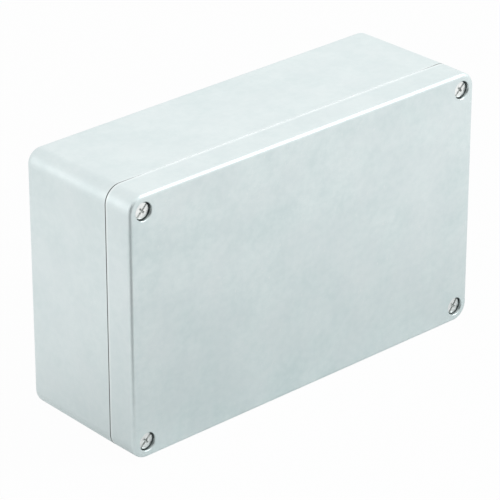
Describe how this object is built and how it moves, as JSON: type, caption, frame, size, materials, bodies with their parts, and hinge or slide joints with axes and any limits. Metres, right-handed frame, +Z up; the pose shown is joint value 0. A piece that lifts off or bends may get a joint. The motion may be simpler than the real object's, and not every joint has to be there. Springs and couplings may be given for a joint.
{
  "type": "die cast enclosure",
  "caption": "Sealed die cast aluminium box with a lifting lid, captive corner screws, a gasket and wall fixing holes behind the lid.",
  "frame": {"origin": "on the ground under the middle of the box, which stands on one long side", "axes": "+X along the length, +Z up, -Y out of the lid, +Y out of the back that fixes to a wall"},
  "size_m": [0.26, 0.09, 0.16],
  "materials": {
    "cast_base": "bare tumbled casting, satin with a fine mottle",
    "cast_lid": "bare tumbled casting, satin with a fine mottle",
    "gasket": "matt closed cell",
    "screw_steel": "turned stainless steel",
    "clip_steel": "stamped spring steel",
    "earth_steel": "zinc plated",
    "earth_brass": "plain stamped"
  },
  "bodies": {
    "base": {"base_casting": "cast_base", "base_earth_washer": "earth_brass", "base_earth_lock_washer": "earth_steel", "base_earth_screw": "earth_steel"},
    "lid": {"lid_casting": "cast_lid", "lid_gasket": "gasket", "lid_earth_washer": "earth_brass", "lid_earth_lock_washer": "earth_steel", "lid_earth_screw": "earth_steel"},
    "clip_upper_left": {"screw_clip_upper_left": "clip_steel"},
    "screw_upper_left": {"lid_screw_upper_left": "screw_steel"},
    "clip_upper_right": {"screw_clip_upper_right": "clip_steel"},
    "screw_upper_right": {"lid_screw_upper_right": "screw_steel"},
    "clip_lower_left": {"screw_clip_lower_left": "clip_steel"},
    "screw_lower_left": {"lid_screw_lower_left": "screw_steel"},
    "clip_lower_right": {"screw_clip_lower_right": "clip_steel"},
    "screw_lower_right": {"lid_screw_lower_right": "screw_steel"}
  },
  "joints": [
    {"name": "lid_lift", "type": "slide", "parent": "base", "child": "lid", "axis": [0, -1, 0], "range_m": [0, 0.12]},
    {"name": "screw_rise_upper_left", "type": "slide", "parent": "lid", "child": "clip_upper_left", "axis": [0, -1, 0], "range_m": [0, 0.01]},
    {"name": "screw_turn_upper_left", "type": "hinge", "parent": "clip_upper_left", "child": "screw_upper_left", "pos_m": [-0.12, -0.025, 0.15], "axis": [0, -1, 0], "range_deg": [0, 3600]},
    {"name": "screw_rise_upper_right", "type": "slide", "parent": "lid", "child": "clip_upper_right", "axis": [0, -1, 0], "range_m": [0, 0.01]},
    {"name": "screw_turn_upper_right", "type": "hinge", "parent": "clip_upper_right", "child": "screw_upper_right", "pos_m": [0.12, -0.025, 0.15], "axis": [0, -1, 0], "range_deg": [0, 3600]},
    {"name": "screw_rise_lower_left", "type": "slide", "parent": "lid", "child": "clip_lower_left", "axis": [0, -1, 0], "range_m": [0, 0.01]},
    {"name": "screw_turn_lower_left", "type": "hinge", "parent": "clip_lower_left", "child": "screw_lower_left", "pos_m": [-0.12, -0.025, 0.01], "axis": [0, -1, 0], "range_deg": [0, 3600]},
    {"name": "screw_rise_lower_right", "type": "slide", "parent": "lid", "child": "clip_lower_right", "axis": [0, -1, 0], "range_m": [0, 0.01]},
    {"name": "screw_turn_lower_right", "type": "hinge", "parent": "clip_lower_right", "child": "screw_lower_right", "pos_m": [0.12, -0.025, 0.01], "axis": [0, -1, 0], "range_deg": [0, 3600]}
  ],
  "couplings": [
    {"joint": "screw_turn_upper_left", "follows": "screw_rise_upper_left", "rad_per_m": 6283.2},
    {"joint": "screw_turn_upper_right", "follows": "screw_rise_upper_right", "rad_per_m": 6283.2},
    {"joint": "screw_turn_lower_left", "follows": "screw_rise_lower_left", "rad_per_m": 6283.2},
    {"joint": "screw_turn_lower_right", "follows": "screw_rise_lower_right", "rad_per_m": 6283.2}
  ]
}
